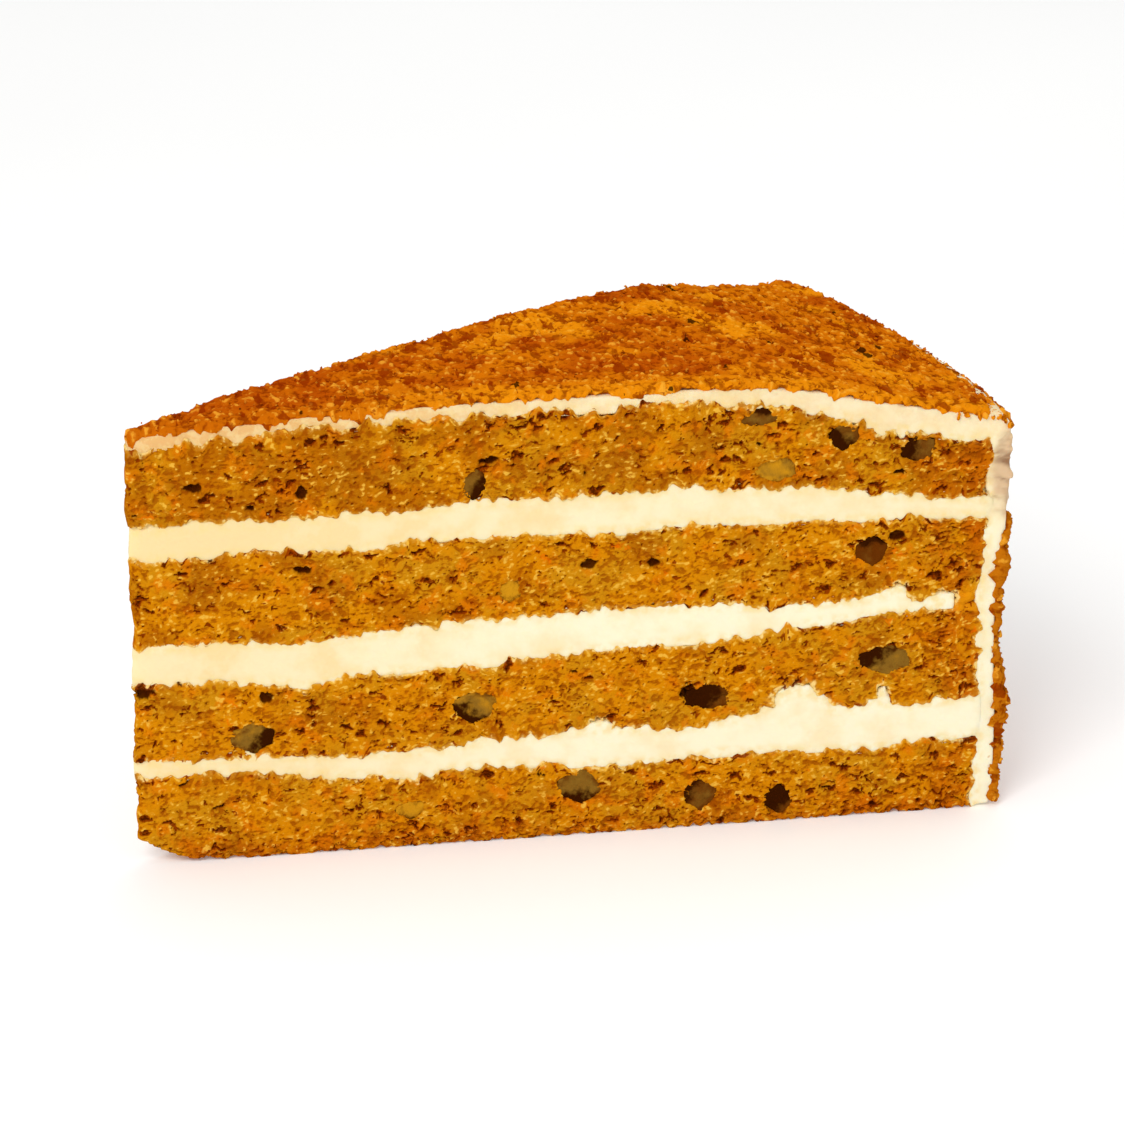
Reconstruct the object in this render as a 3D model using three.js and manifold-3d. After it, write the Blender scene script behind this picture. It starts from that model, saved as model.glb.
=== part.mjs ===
// A slice of four-layer carrot cake, in millimetres, +Z up.
// The slice is a wedge of a round cake. Its front cut lies along +X from the tip to the rim, and the
// wedge opens towards +Y. Four sponges are filled with three layers of cream cheese frosting. A thin coat
// of the same cream covers the top and the round side, and fine cake crumbs are pressed on that coat.
// Pieces of walnut sit in pockets in the sponge, cut through level with the two cut faces.

import * as THREE from "three";
import { mergeVertices } from "three/addons/utils/BufferGeometryUtils.js";
import Module from "manifold-3d";

const wasm = await Module();
wasm.setup();
const { clamp, degToRad, lerp, smoothstep } = THREE.MathUtils;

// The wedge.
const SLICE_ANGLE = degToRad(29.5);
const TIP_RADIUS = 3; // the knife leaves the tip blunt, this far from the cake's centre
const SPONGE_RADIUS = 132.8;
const TOUCH_GAP = 0.3; // between neighbours that touch

// Thickness of each layer from the plate up, at five places from the tip to the rim.
const LAYERS = [
  { name: "sponge_1", thickness: [14.8, 12.9, 12.1, 11.7, 12.0] },
  { name: "cream_1", thickness: [2.2, 2.9, 4.9, 5.7, 6.6] },
  { name: "sponge_2", thickness: [12.6, 13.2, 13.2, 14.4, 16.0] },
  { name: "cream_2", thickness: [5.6, 6.0, 6.6, 4.2, 0.6], endsBeforeRim: true },
  { name: "sponge_3", thickness: [14.0, 15.1, 13.2, 13.8, 13.6] },
  { name: "cream_3", thickness: [4.8, 4.3, 5.4, 5.0, 2.4] },
  { name: "sponge_4", thickness: [12.8, 14.5, 14.0, 13.4, 9.8] },
];
const STATION_GAP = (SPONGE_RADIUS - TIP_RADIUS) / 4;
const THIN_END = { boundaries: [3, 4], radius: SPONGE_RADIUS - 5, fade: [4, 20] }; // where cream_2 runs out

// The cream coat, with its thickness on the top at the same five places, and the crumbs pressed on it.
const TOP_COAT = [1.7, 1.2, 1.5, 2.1, 3.6];
const COAT_SMOOTHED = 0.5; // the share of the waves that the knife left on the top
const SIDE_COAT = 2.4;
const COAT_FOOT = 0.8; // the coat stops this far above the plate
const SHOULDER = { inset: 1.3, drop: 1.6 }; // the rounded edge between the top and the side
const CRUMB_EDGE = { out: 0.4, drop: 0.6 }; // where the top crumbs end over that edge
const CRUMB_THICKNESS = 1.3;
const CRUMB_FOOT = 0.6;
const CRUMB_SHOULDER_GAP = 3.4; // the side crumbs start this far below the shoulder
const GRAIN = 0.45; // how far single crumbs stand out of the bed
const SIDE_BULGE = { at: 17, width: 5, swell: 1.2 }; // a ridge of crumbs round the first filling

// At the front corner the coat is thicker and no crumbs stick to it.
const BARE = { low: 47, high: 62, fade: 4, swell: 0.7, angle: 0.24 * SLICE_ANGLE };

// Places where the cream was pressed into the crumb beside the front cut: the boundary that moves, counted
// up from the plate, how far from the tip, how wide, and how far the boundary moves up.
const CREAM_FINGERS = [
  { boundary: 2, at: 101, width: 8, rise: 4.0 },
  { boundary: 2, at: 114.5, width: 4.5, rise: 1.6 },
  { boundary: 1, at: 42, width: 6, rise: -1.2 },
  { boundary: 3, at: 27, width: 8, rise: -1.3 },
  { boundary: 4, at: 116, width: 5, rise: 2.4 },
  { boundary: 5, at: 32, width: 14, rise: -0.6 },
  { boundary: 6, at: 84, width: 6, rise: 1.0 },
  { boundary: 7, at: 114, width: 5, rise: -1.4 },
];
const FINGER_DEPTH = 7;

// The plate-side corner of the tip is crumbled away.
const TIP_CHIP = { length: 12, height: 4.2 };

// Walnut pieces in the front cut: how far from the tip and how high the middle is, and the size of the cut.
const FRONT_NUTS = [
  { layer: "sponge_4", at: 95, z: 66.3, width: 5.4, high: 2.4 },
  { layer: "sponge_4", at: 107.8, z: 63.5, width: 4.4, high: 3.4 },
  { layer: "sponge_4", at: 119, z: 60.9, width: 4.6, high: 3.2 },
  { layer: "sponge_4", at: 97.5, z: 57.9, width: 5.2, high: 3.6 },
  { layer: "sponge_4", at: 51.7, z: 57.4, width: 3.0, high: 4.4 },
  { layer: "sponge_3", at: 112.3, z: 43.9, width: 4.2, high: 4.4 },
  { layer: "sponge_3", at: 56.9, z: 41.4, width: 2.8, high: 4.0 },
  { layer: "sponge_2", at: 114.8, z: 25.9, width: 7.6, high: 4.2 },
  { layer: "sponge_2", at: 87.2, z: 21.6, width: 6.2, high: 4.2 },
  { layer: "sponge_2", at: 51.4, z: 22.6, width: 6.0, high: 4.6 },
  { layer: "sponge_2", at: 17.8, z: 18.3, width: 6.0, high: 4.4 },
  { layer: "sponge_1", at: 67.8, z: 8.7, width: 5.6, high: 4.8 },
  { layer: "sponge_1", at: 86.4, z: 5.3, width: 4.4, high: 4.6 },
  { layer: "sponge_1", at: 98.7, z: 3.6, width: 3.8, high: 4.0 },
  { layer: "sponge_1", at: 41.6, z: 6.3, width: 4.0, high: 2.4 },
];

// The back cut goes through the same crumb, so nuts are spread over it by a rule.
const BACK_NUTS = { perSponge: 2, from: 26, until: 114, width: [4, 6.4], high: [3.2, 4.6] };

const COLOURS = {
  sponge: { color: 0xc08018, roughness: 0.92 },
  cream: { color: 0xfbf0cf, roughness: 0.5 },
  crumb: { color: 0xb9650f, roughness: 0.95 },
  walnut: { color: 0x8d7a4c, roughness: 0.6 },
};

// Rows run from the tip to the rim. The rows beside the two cuts are fine, those inside the slice coarse.
const FINE_STEPS = 40;
const COARSE_STEPS = 10;
const ROWS = [
  { share: 0, steps: FINE_STEPS },
  { share: 0.06, steps: FINE_STEPS },
  { share: 0.2, steps: COARSE_STEPS },
  { share: 0.35, steps: COARSE_STEPS },
  { share: 0.5, steps: COARSE_STEPS },
  { share: 0.65, steps: COARSE_STEPS },
  { share: 0.8, steps: COARSE_STEPS },
  { share: 0.94, steps: FINE_STEPS },
  { share: 1, steps: FINE_STEPS },
];
const SIDE_STEPS = 20; // from the shoulder down the coat
const CRUMB_ROWS = 12;
const CRUMB_TOP_STEPS = 36;
const CRUMB_SIDE_STEPS = 14;

// A random number source that gives the same numbers on every run.
function seeded(seed) {
  let state = seed;
  return () => {
    state = (state * 1664525 + 1013904223) >>> 0;
    return state / 4294967296;
  };
}

// A smooth curve through values given at equal steps from the tip to the rim.
function alongRadius(values, radius) {
  const place = (radius - TIP_RADIUS) / STATION_GAP;
  const i = clamp(Math.floor(place), 0, values.length - 2);
  const f = clamp(place - i, 0, 1);
  const at = (k) => values[clamp(k, 0, values.length - 1)];
  const [a, b, c, d] = [at(i - 1), at(i), at(i + 1), at(i + 2)];
  return b + 0.5 * f * (c - a + f * (2 * a - 5 * b + 4 * c - d + f * (3 * (b - c) + d - a)));
}

// Hand-spread cream is never level: slow waves of a few tenths of a millimetre, different at each boundary.
function unevenness(boundary, radius, angle) {
  const across = radius * angle;
  const turn = 1.7 * boundary;
  const long = Math.sin(radius / 6.1 + turn) * Math.cos(across / 8.3 + 2 * turn);
  const short = Math.sin(radius / 2.9 + 3 * turn) * Math.cos(across / 4.7 + turn);
  return 0.4 * long + 0.22 * short;
}

function fingers(boundary, radius, angle) {
  const depth = radius * angle;
  let rise = 0;
  for (const finger of CREAM_FINGERS) {
    if (finger.boundary !== boundary) continue;
    const along = (radius - TIP_RADIUS - finger.at) / (finger.width / 2);
    rise += finger.rise * Math.exp(-(along ** 4)) * Math.exp(-((depth / FINGER_DEPTH) ** 2));
  }
  return rise;
}

// Height of a boundary: 0 is the plate, 1 the top of sponge_1, 7 the top of sponge_4, 8 the top of the coat.
function height(boundary, radius, angle) {
  if (boundary === 0) {
    const near = 1 - (radius - TIP_RADIUS) / TIP_CHIP.length;
    return near > 0 ? TIP_CHIP.height * near * near : 0;
  }
  let z = 0;
  for (let k = 0; k < Math.min(boundary, LAYERS.length); k++) {
    z += alongRadius(LAYERS[k].thickness, radius);
  }
  let calm = 1;
  if (THIN_END.boundaries.includes(boundary)) calm = smoothstep(SPONGE_RADIUS - radius, ...THIN_END.fade);
  if (boundary > LAYERS.length) {
    z += alongRadius(TOP_COAT, radius);
    calm = COAT_SMOOTHED;
  }
  return z + calm * (unevenness(boundary, radius, angle) + fingers(boundary, radius, angle));
}

// The sponges' outer radius wanders a little with height and round the side.
function rimRadius(z, angle) {
  return SPONGE_RADIUS + 0.7 * Math.sin(z / 8.5 + 0.6) * Math.cos(7 * angle + 0.4) - 0.5 * Math.cos(z / 15);
}

// Where a boundary meets the round side. Between two of these corners the sponges' side is straight.
function sideCorner(boundary, angle) {
  const middleZ = height(boundary, SPONGE_RADIUS, 0.5 * SLICE_ANGLE);
  return { radius: rimRadius(middleZ, angle), z: height(boundary, SPONGE_RADIUS, angle) };
}

function spongeSide(z, angle) {
  const corners = Array.from({ length: LAYERS.length + 1 }, (_, boundary) => sideCorner(boundary, angle));
  const below = clamp(corners.findLastIndex((corner) => corner.z <= z), 0, LAYERS.length - 1);
  const [low, high] = [corners[below], corners[below + 1]];
  return lerp(low.radius, high.radius, clamp((z - low.z) / (high.z - low.z), 0, 1));
}

function pointAt(radius, angle, z) {
  return new THREE.Vector3(radius * Math.cos(angle), radius * Math.sin(angle), z);
}

// Triangles between a stretch of one row of points and a stretch of the next, of any two lengths.
function zipStretch(startA, stepsA, startB, stepsB) {
  const faces = [];
  let a = 0;
  let b = 0;
  while (a < stepsA || b < stepsB) {
    if (b === stepsB || (a < stepsA && (a + 1) / stepsA <= (b + 1) / stepsB + 1e-9)) {
      faces.push([startA + a, startA + a + 1, startB + b]);
      a++;
    } else {
      faces.push([startA + a, startB + b + 1, startB + b]);
      b++;
    }
  }
  return faces;
}

// Rows are joined stretch by stretch, between the knots that each row names among its points.
function zipRows(rowA, startA, rowB, startB) {
  const [knotsA, knotsB] = [rowA, rowB].map((row) => [0, ...(row.knots ?? []), row.length - 1]);
  return knotsA.slice(1).flatMap((endA, i) => {
    const [a, b] = [knotsA[i], knotsB[i]];
    return zipStretch(startA + a, endA - a, startB + b, knotsB[i + 1] - b);
  });
}

// One closed solid between a lower and an upper sheet of rows. Matching rows have the same number of points.
function solidBetween(lower, upper) {
  const points = [];
  const start = { lower: [], upper: [] };
  for (const [key, rows] of [["lower", lower], ["upper", upper]]) {
    for (const row of rows) {
      start[key].push(points.length);
      points.push(...row);
    }
  }
  const faces = [];
  const quad = (a, b, c, d) => faces.push([a, b, c], [a, c, d]);
  for (let j = 0; j < lower.length - 1; j++) {
    const [countA, countB] = [lower[j].length, lower[j + 1].length];
    faces.push(...zipRows(upper[j], start.upper[j], upper[j + 1], start.upper[j + 1]));
    const under = zipRows(lower[j], start.lower[j], lower[j + 1], start.lower[j + 1]);
    faces.push(...under.map(([a, b, c]) => [a, c, b]));
    const [lowA, upA, lowB, upB] = [start.lower[j], start.upper[j], start.lower[j + 1], start.upper[j + 1]];
    quad(lowB, lowA, upA, upB);
    quad(lowA + countA - 1, lowB + countB - 1, upB + countB - 1, upA + countA - 1);
  }
  const last = lower.length - 1;
  for (let i = 0; i < lower[0].length - 1; i++) {
    quad(start.lower[0] + i, start.lower[0] + i + 1, start.upper[0] + i + 1, start.upper[0] + i);
  }
  for (let i = 0; i < lower[last].length - 1; i++) {
    quad(start.lower[last] + i + 1, start.lower[last] + i, start.upper[last] + i, start.upper[last] + i + 1);
  }
  const geometry = new THREE.BufferGeometry().setFromPoints(points);
  geometry.setIndex(faces.flat());
  geometry.computeVertexNormals();
  return geometry;
}

function toManifold(geometry) {
  const bare = new THREE.BufferGeometry().setAttribute("position", geometry.getAttribute("position"));
  if (geometry.index) bare.setIndex(geometry.index);
  const merged = mergeVertices(bare, 1e-4);
  return new wasm.Manifold(
    new wasm.Mesh({
      numProp: 3,
      vertProperties: new Float32Array(merged.attributes.position.array),
      triVerts: new Uint32Array(merged.index.array),
    }),
  );
}

function toGeometry(manifold) {
  const mesh = manifold.getMesh();
  const geometry = new THREE.BufferGeometry();
  geometry.setAttribute("position", new THREE.BufferAttribute(mesh.vertProperties, 3));
  geometry.setIndex(new THREE.BufferAttribute(mesh.triVerts, 1));
  geometry.computeVertexNormals();
  return geometry;
}

function makeMesh(name, geometry, kind) {
  const material = new THREE.MeshStandardMaterial({ metalness: 0, ...COLOURS[kind] });
  const mesh = new THREE.Mesh(geometry, material);
  mesh.name = name;
  return mesh;
}

// Walnut. A chopped piece has few flat faces, and the knife has left it level with the cut face. Its corners
// are pulled in or out at random between two limits, and depth is how far it reaches in, against its width.
const NUT_LUMP = { least: 0.94, most: 1.2, depth: 1.1 };
const CUT_SIDE = 20; // a block larger than any nut, which keeps the cake's side of the cut

const cake = new THREE.Group();
const frontCut = new THREE.Group();
const backCut = new THREE.Group();
backCut.rotation.z = SLICE_ANGLE;
cake.add(frontCut, backCut);

function nutLump(nut, seed, grow) {
  const random = seeded(seed);
  const ball = new THREE.DodecahedronGeometry(0.5);
  ball.deleteAttribute("normal");
  ball.deleteAttribute("uv");
  const lump = mergeVertices(ball, 1e-3);
  const position = lump.getAttribute("position");
  for (let i = 0; i < position.count; i++) {
    const stretch = lerp(NUT_LUMP.least, NUT_LUMP.most, random());
    const [x, y, z] = [position.getX(i), position.getY(i), position.getZ(i)].map((v) => v * stretch);
    const [width, high] = [nut.width + grow, nut.high + grow];
    position.setXYZ(i, x * width, y * width * NUT_LUMP.depth, z * high);
  }
  return lump;
}

// A nut's height on the cut, moved where it must be so that its sponge still closes above and below it.
function fittedHeight(nut, angle) {
  const index = LAYERS.findIndex((layer) => layer.name === nut.layer);
  const reach = 0.5 * NUT_LUMP.most;
  const places = [-reach, 0, reach].map((share) => nut.at + TIP_RADIUS + share * nut.width);
  const room = reach * nut.high + 2 * TOUCH_GAP;
  const low = Math.max(...places.map((radius) => height(index, radius, angle)));
  const high = Math.min(...places.map((radius) => height(index + 1, radius, angle)));
  return clamp(nut.z, low + room, high - room);
}

function backNuts() {
  const random = seeded(77);
  const nuts = [];
  LAYERS.forEach((layer, index) => {
    if (!layer.name.startsWith("sponge")) return;
    for (let n = 0; n < BACK_NUTS.perSponge; n++) {
      const along = (n + lerp(0.15, 0.85, random())) / BACK_NUTS.perSponge;
      const at = lerp(BACK_NUTS.from, BACK_NUTS.until, along);
      const [low, high] = [index, index + 1].map((k) => height(k, at + TIP_RADIUS, SLICE_ANGLE));
      const z = lerp(low, high, lerp(0.3, 0.7, random()));
      const [width, tall] = [lerp(...BACK_NUTS.width, random()), lerp(...BACK_NUTS.high, random())];
      nuts.push({ layer: layer.name, at, z, width, high: tall });
    }
  });
  return nuts;
}

// Adds one nut to a cut and keeps the pocket that it needs. inward is 1 on the front cut, -1 on the back cut.
const pockets = {};
function addNut(nut, number, cut, inward) {
  const seed = 31 * number + 7;
  const block = new THREE.BoxGeometry(CUT_SIDE, CUT_SIDE, CUT_SIDE).translate(0, (inward * CUT_SIDE) / 2, 0);
  const kept = toManifold(nutLump(nut, seed, 0)).intersect(toManifold(block));
  const mesh = makeMesh("walnut_" + String(number).padStart(2, "0"), toGeometry(kept), "walnut");
  mesh.position.set(nut.at + TIP_RADIUS, 0, fittedHeight(nut, cut.rotation.z));
  cut.add(mesh);
  mesh.updateWorldMatrix(true, false);
  const pocket = nutLump(nut, seed, 2 * TOUCH_GAP).applyMatrix4(mesh.matrixWorld);
  pockets[nut.layer] = [...(pockets[nut.layer] ?? []), toManifold(pocket)];
}

FRONT_NUTS.forEach((nut, i) => addNut(nut, i + 1, frontCut, 1));
backNuts().forEach((nut, i) => addNut(nut, FRONT_NUTS.length + i + 1, backCut, -1));

// Sponges and fillings. Every row has a point where cream_2 runs out, so that the sponges beside it fit it.
function stations(row) {
  const even = Array.from({ length: row.steps }, (_, i) => lerp(TIP_RADIUS, SPONGE_RADIUS, i / row.steps));
  return [...even, THIN_END.radius].sort((a, b) => a - b);
}

function layerSheet(boundary, lift, endsBeforeRim) {
  return ROWS.map((row) => {
    const angle = row.share * SLICE_ANGLE;
    const radii = stations(row).filter((radius) => !endsBeforeRim || radius <= THIN_END.radius);
    const points = radii.map((radius) => pointAt(radius, angle, height(boundary, radius, angle) + lift));
    points.knots = [radii.indexOf(THIN_END.radius)];
    if (!endsBeforeRim) {
      const corner = sideCorner(boundary, angle);
      points.push(pointAt(corner.radius, angle, corner.z + lift));
    }
    return points;
  });
}

LAYERS.forEach((layer, index) => {
  const lower = layerSheet(index, index === 0 ? 0 : TOUCH_GAP / 2, layer.endsBeforeRim);
  const upper = layerSheet(index + 1, -TOUCH_GAP / 2, layer.endsBeforeRim);
  let solid = toManifold(solidBetween(lower, upper));
  for (const pocket of pockets[layer.name] ?? []) solid = solid.subtract(pocket);
  const kind = layer.name.split("_")[0];
  cake.add(makeMesh(layer.name, toGeometry(solid), kind));
});

// The cream coat: along the top, over the shoulder and down the round side.
function bareness(z, angle) {
  const above = smoothstep(z, BARE.low - BARE.fade, BARE.low);
  const below = 1 - smoothstep(z, BARE.high, BARE.high + BARE.fade);
  return above * below * (1 - smoothstep(angle, 0.5 * BARE.angle, BARE.angle));
}

function coatSide(z, angle) {
  return rimRadius(z, angle) + SIDE_COAT + BARE.swell * bareness(z, angle);
}

const COAT_TOP = LAYERS.length + 1;

// Points of the coat's inner or outer face in one row: first along the top, then down the side.
function coatRow(row, outer) {
  const angle = row.share * SLICE_ANGLE;
  const boundary = outer ? COAT_TOP : LAYERS.length;
  const lift = outer ? 0 : TOUCH_GAP / 2;
  const radii = stations(row);
  const points = radii.map((radius) => pointAt(radius, angle, height(boundary, radius, angle) + lift));
  points.knots = [radii.indexOf(THIN_END.radius), radii.length];
  const edgeZ = height(boundary, SPONGE_RADIUS, angle) + lift;
  const edge = outer ? coatSide(edgeZ, angle) - SHOULDER.inset : spongeSide(edgeZ, angle) + TOUCH_GAP;
  points.push(pointAt(edge, angle, edgeZ));
  for (let i = 0; i <= SIDE_STEPS; i++) {
    const z = lerp(edgeZ - SHOULDER.drop, COAT_FOOT, i / SIDE_STEPS);
    points.push(pointAt(outer ? coatSide(z, angle) : spongeSide(z, angle) + TOUCH_GAP, angle, z));
  }
  return points;
}

const coatInside = ROWS.map((row) => coatRow(row, false));
const coatOutside = ROWS.map((row) => coatRow(row, true));
cake.add(makeMesh("cream_coat", solidBetween(coatInside, coatOutside), "cream"));

// Crumbs lie on the coat as a thin bed with a grainy face. A sheet is its inner or its outer face.
function crumbSheet(steps, seed, outer, place) {
  const random = seeded(seed);
  return Array.from({ length: CRUMB_ROWS + 1 }, (_, j) => {
    const angle = (j / CRUMB_ROWS) * SLICE_ANGLE;
    return Array.from({ length: steps + 1 }, (_, i) => {
      const grain = GRAIN * (random() - 0.5);
      return place(i / steps, angle, outer ? CRUMB_THICKNESS + grain : TOUCH_GAP, outer);
    });
  });
}

// On the top they run out over the shoulder.
function topCrumb(share, angle, lift, outer) {
  if (share < 1) {
    const radius = lerp(TIP_RADIUS, SPONGE_RADIUS, share / (1 - 1 / CRUMB_TOP_STEPS));
    return pointAt(radius, angle, height(COAT_TOP, radius, angle) + lift);
  }
  const edgeZ = height(COAT_TOP, SPONGE_RADIUS, angle);
  const side = coatSide(edgeZ, angle);
  if (outer) return pointAt(side + CRUMB_EDGE.out, angle, edgeZ - CRUMB_EDGE.drop);
  return pointAt(side - SHOULDER.inset, angle, edgeZ + TOUCH_GAP);
}

// On the side they leave the bare patch free.
function sideCrumb(share, angle, lift, outer) {
  const shoulder = height(COAT_TOP, SPONGE_RADIUS, 0.5 * SLICE_ANGLE) - CRUMB_SHOULDER_GAP;
  const upper = lerp(BARE.low, shoulder, smoothstep(angle, 0.4 * BARE.angle, BARE.angle));
  const z = lerp(upper, CRUMB_FOOT, share);
  const bulge = outer ? SIDE_BULGE.swell * Math.exp(-(((z - SIDE_BULGE.at) / SIDE_BULGE.width) ** 2)) : 0;
  return pointAt(coatSide(z, angle) + lift + bulge, angle, z);
}

function crumbBed(steps, seed, place) {
  return solidBetween(crumbSheet(steps, seed, false, place), crumbSheet(steps, seed, true, place));
}
cake.add(makeMesh("crumb_top", crumbBed(CRUMB_TOP_STEPS, 5, topCrumb), "crumb"));
cake.add(makeMesh("crumb_side", crumbBed(CRUMB_SIDE_STEPS, 9, sideCrumb), "crumb"));

// The origin is under the middle of the slice, on the plate.
const box = new THREE.Box3().setFromObject(cake);
const centre = box.getCenter(new THREE.Vector3());
cake.position.set(-centre.x, -centre.y, -box.min.z);

export default cake;
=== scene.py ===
# %% [markdown]
# # A slice of carrot cake
# A round carrot cake of four sponges was filled with cream cheese frosting, coated with the same cream and
# rolled in fine cake crumbs. A slice of it, cut with a long knife, is what this file dresses.
# The CAD frame gives every layer its true size and place. Blender adds what the eye reads as cake: open
# crumb, soft cream, walnut and loose crumbs.

# %% Load the frame
import math

import bpy
import numpy as np
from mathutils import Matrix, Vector


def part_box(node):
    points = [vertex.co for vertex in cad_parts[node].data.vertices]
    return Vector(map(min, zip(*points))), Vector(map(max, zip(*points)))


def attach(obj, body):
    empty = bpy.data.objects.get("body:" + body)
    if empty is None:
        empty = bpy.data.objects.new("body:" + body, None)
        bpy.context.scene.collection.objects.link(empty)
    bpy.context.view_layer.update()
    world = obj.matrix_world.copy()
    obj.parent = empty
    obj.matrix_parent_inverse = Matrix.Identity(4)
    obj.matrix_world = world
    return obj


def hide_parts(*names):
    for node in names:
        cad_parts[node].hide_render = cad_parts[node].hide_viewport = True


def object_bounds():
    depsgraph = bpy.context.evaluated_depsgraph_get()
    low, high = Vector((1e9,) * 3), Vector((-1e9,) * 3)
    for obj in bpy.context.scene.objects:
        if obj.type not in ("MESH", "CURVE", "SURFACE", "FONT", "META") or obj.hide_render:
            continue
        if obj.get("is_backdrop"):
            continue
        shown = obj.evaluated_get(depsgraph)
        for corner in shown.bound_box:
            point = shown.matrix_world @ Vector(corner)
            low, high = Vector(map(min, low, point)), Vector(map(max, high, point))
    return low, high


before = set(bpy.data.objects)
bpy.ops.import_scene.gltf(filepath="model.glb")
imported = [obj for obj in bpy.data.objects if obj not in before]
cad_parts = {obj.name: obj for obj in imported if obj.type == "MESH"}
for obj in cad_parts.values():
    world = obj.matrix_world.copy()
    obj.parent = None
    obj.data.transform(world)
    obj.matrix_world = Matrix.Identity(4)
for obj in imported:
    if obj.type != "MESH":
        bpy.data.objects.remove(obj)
cad_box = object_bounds()
print("CAD box in metres:", [[round(v, 4) for v in corner] for corner in cad_box])

# %% [markdown]
# ## Where things are
# The slice is a wedge of a round cake. Its front cut is a plane that faces the viewer, its back cut is a
# plane turned by the slice's angle, and both planes meet on the cake's axis, just beyond the blunt tip.
# These few values are worked out from the frame, and everything else is placed by them.

# %% The slice's planes
MM = 0.001
SLICE_ANGLE = math.radians(29.5)
TIP_RADIUS = 3 * MM

sponge_low, sponge_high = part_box("sponge_2")
AXIS = Vector((sponge_low.x - TIP_RADIUS * math.cos(SLICE_ANGLE), sponge_low.y, 0))
FRONT_NORMAL = Vector((0, -1, 0))
BACK_NORMAL = Vector((-math.sin(SLICE_ANGLE), math.cos(SLICE_ANGLE), 0))
TIP_NORMAL = Vector((-math.cos(SLICE_ANGLE / 2), -math.sin(SLICE_ANGLE / 2), 0))
ALONG, INWARDS, UP = (1, 0, 0), (0, 1, 0), (0, 0, 1)


def on_front(along, z, depth=0.0):
    """A point of the front cut: so far from the tip, so high and so deep in the cake, in millimetres."""
    return Vector((AXIS.x + TIP_RADIUS + along * MM, AXIS.y + depth * MM, z * MM))


print("the cake's axis is at x %.4f, y %.4f" % (AXIS.x, AXIS.y))

# %% [markdown]
# ## The camera
# A food photographer works with a long lens from a little above the plate, so that the layers stay nearly
# parallel. The place below comes from fitting a camera to the slice's corners and layer lines. A 144 mm
# lens on a 36 mm sensor at about 0.67 m gives the same picture, with no lens shift.

# %% Camera
CAMERA_PLACE = on_front(-37.33, 293.67, -617.43)
CAMERA_TARGET = on_front(64.98, 45.16)

bpy.ops.object.camera_add(location=CAMERA_PLACE)
camera = bpy.context.object
camera.name = "camera"
camera.rotation_euler = (CAMERA_TARGET - CAMERA_PLACE).to_track_quat("-Z", "Y").to_euler()
camera.data.lens = 144
camera.data.sensor_width = 36
camera.data.clip_start = 0.05
camera.data.clip_end = 20
bpy.context.scene.camera = camera

# %% [markdown]
# ## Helpers for shaping
# A CAD node's mesh is loose triangles, so a copy is merged before it is worked on. The copy then gets even
# faces from a voxel remesh, because relief needs vertices everywhere and long CAD triangles have none in
# their middle. Faces that the eye comes close to are divided once more, and faces that lie hidden
# between two layers are dissolved again, which keeps each piece light.

# %% Shaping helpers
# A face counts as facing a way from this cosine on, and faces are dissolved that bend by fewer degrees.
FACING = 0.8
FLAT_ANGLE = 8


def pick_only(piece):
    if bpy.context.object and bpy.context.object.mode != "OBJECT":
        bpy.ops.object.mode_set(mode="OBJECT")
    bpy.ops.object.select_all(action="DESELECT")
    piece.select_set(True)
    bpy.context.view_layer.objects.active = piece


def apply_modifiers(piece):
    pick_only(piece)
    for modifier in list(piece.modifiers):
        bpy.ops.object.modifier_apply(modifier=modifier.name)


def copy_of(node, name):
    piece = bpy.data.objects.new(name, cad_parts[node].data.copy())
    bpy.context.scene.collection.objects.link(piece)
    piece.data.materials.clear()
    pick_only(piece)
    bpy.ops.object.mode_set(mode="EDIT")
    bpy.ops.mesh.select_all(action="SELECT")
    bpy.ops.mesh.remove_doubles(threshold=0.01 * MM)
    bpy.ops.object.mode_set(mode="OBJECT")
    return piece


def even_faces(piece, size):
    remesh = piece.modifiers.new("even faces", "REMESH")
    remesh.mode = "VOXEL"
    remesh.voxel_size = size
    apply_modifiers(piece)


def rows_of(items, key):
    """One vector of every vertex or face, one row for each."""
    values = np.empty(3 * len(items))
    items.foreach_get(key, values)
    return values.reshape(-1, 3)


def face_normals(piece):
    return rows_of(piece.data.polygons, "normal")


def place_vertices(piece, points):
    piece.data.vertices.foreach_set("co", points.ravel())
    piece.data.update()


def edit_faces(piece, chosen):
    """Opens edit mode with only the chosen faces selected."""
    pick_only(piece)
    bpy.ops.object.mode_set(mode="EDIT")
    bpy.ops.mesh.select_mode(type="FACE")
    bpy.ops.mesh.select_all(action="DESELECT")
    bpy.ops.object.mode_set(mode="OBJECT")
    piece.data.polygons.foreach_set("select", chosen)
    bpy.ops.object.mode_set(mode="EDIT")


def refine(piece, chosen, cuts):
    edit_faces(piece, chosen)
    bpy.ops.mesh.subdivide(number_cuts=cuts)
    bpy.ops.object.mode_set(mode="OBJECT")


def facing(piece, direction):
    return face_normals(piece) @ np.array(direction) > FACING


def lump_at(along, z, half_width, half_height, half_depth, depth=0.0):
    """A rounded lump at the front cut. All sizes are in millimetres."""
    bpy.ops.mesh.primitive_ico_sphere_add(subdivisions=4, radius=MM, location=on_front(along, z, depth))
    lump = bpy.context.object
    lump.scale = (half_width, half_depth, half_height)
    bpy.ops.object.transform_apply(location=True, rotation=False, scale=True)
    return lump


def join_into(piece, others):
    pick_only(piece)
    for other in others:
        other.select_set(True)
    bpy.ops.object.join()


def dissolve(piece, chosen):
    edit_faces(piece, chosen)
    bpy.ops.mesh.dissolve_limited(angle_limit=math.radians(FLAT_ANGLE))
    bpy.ops.object.mode_set(mode="OBJECT")


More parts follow.
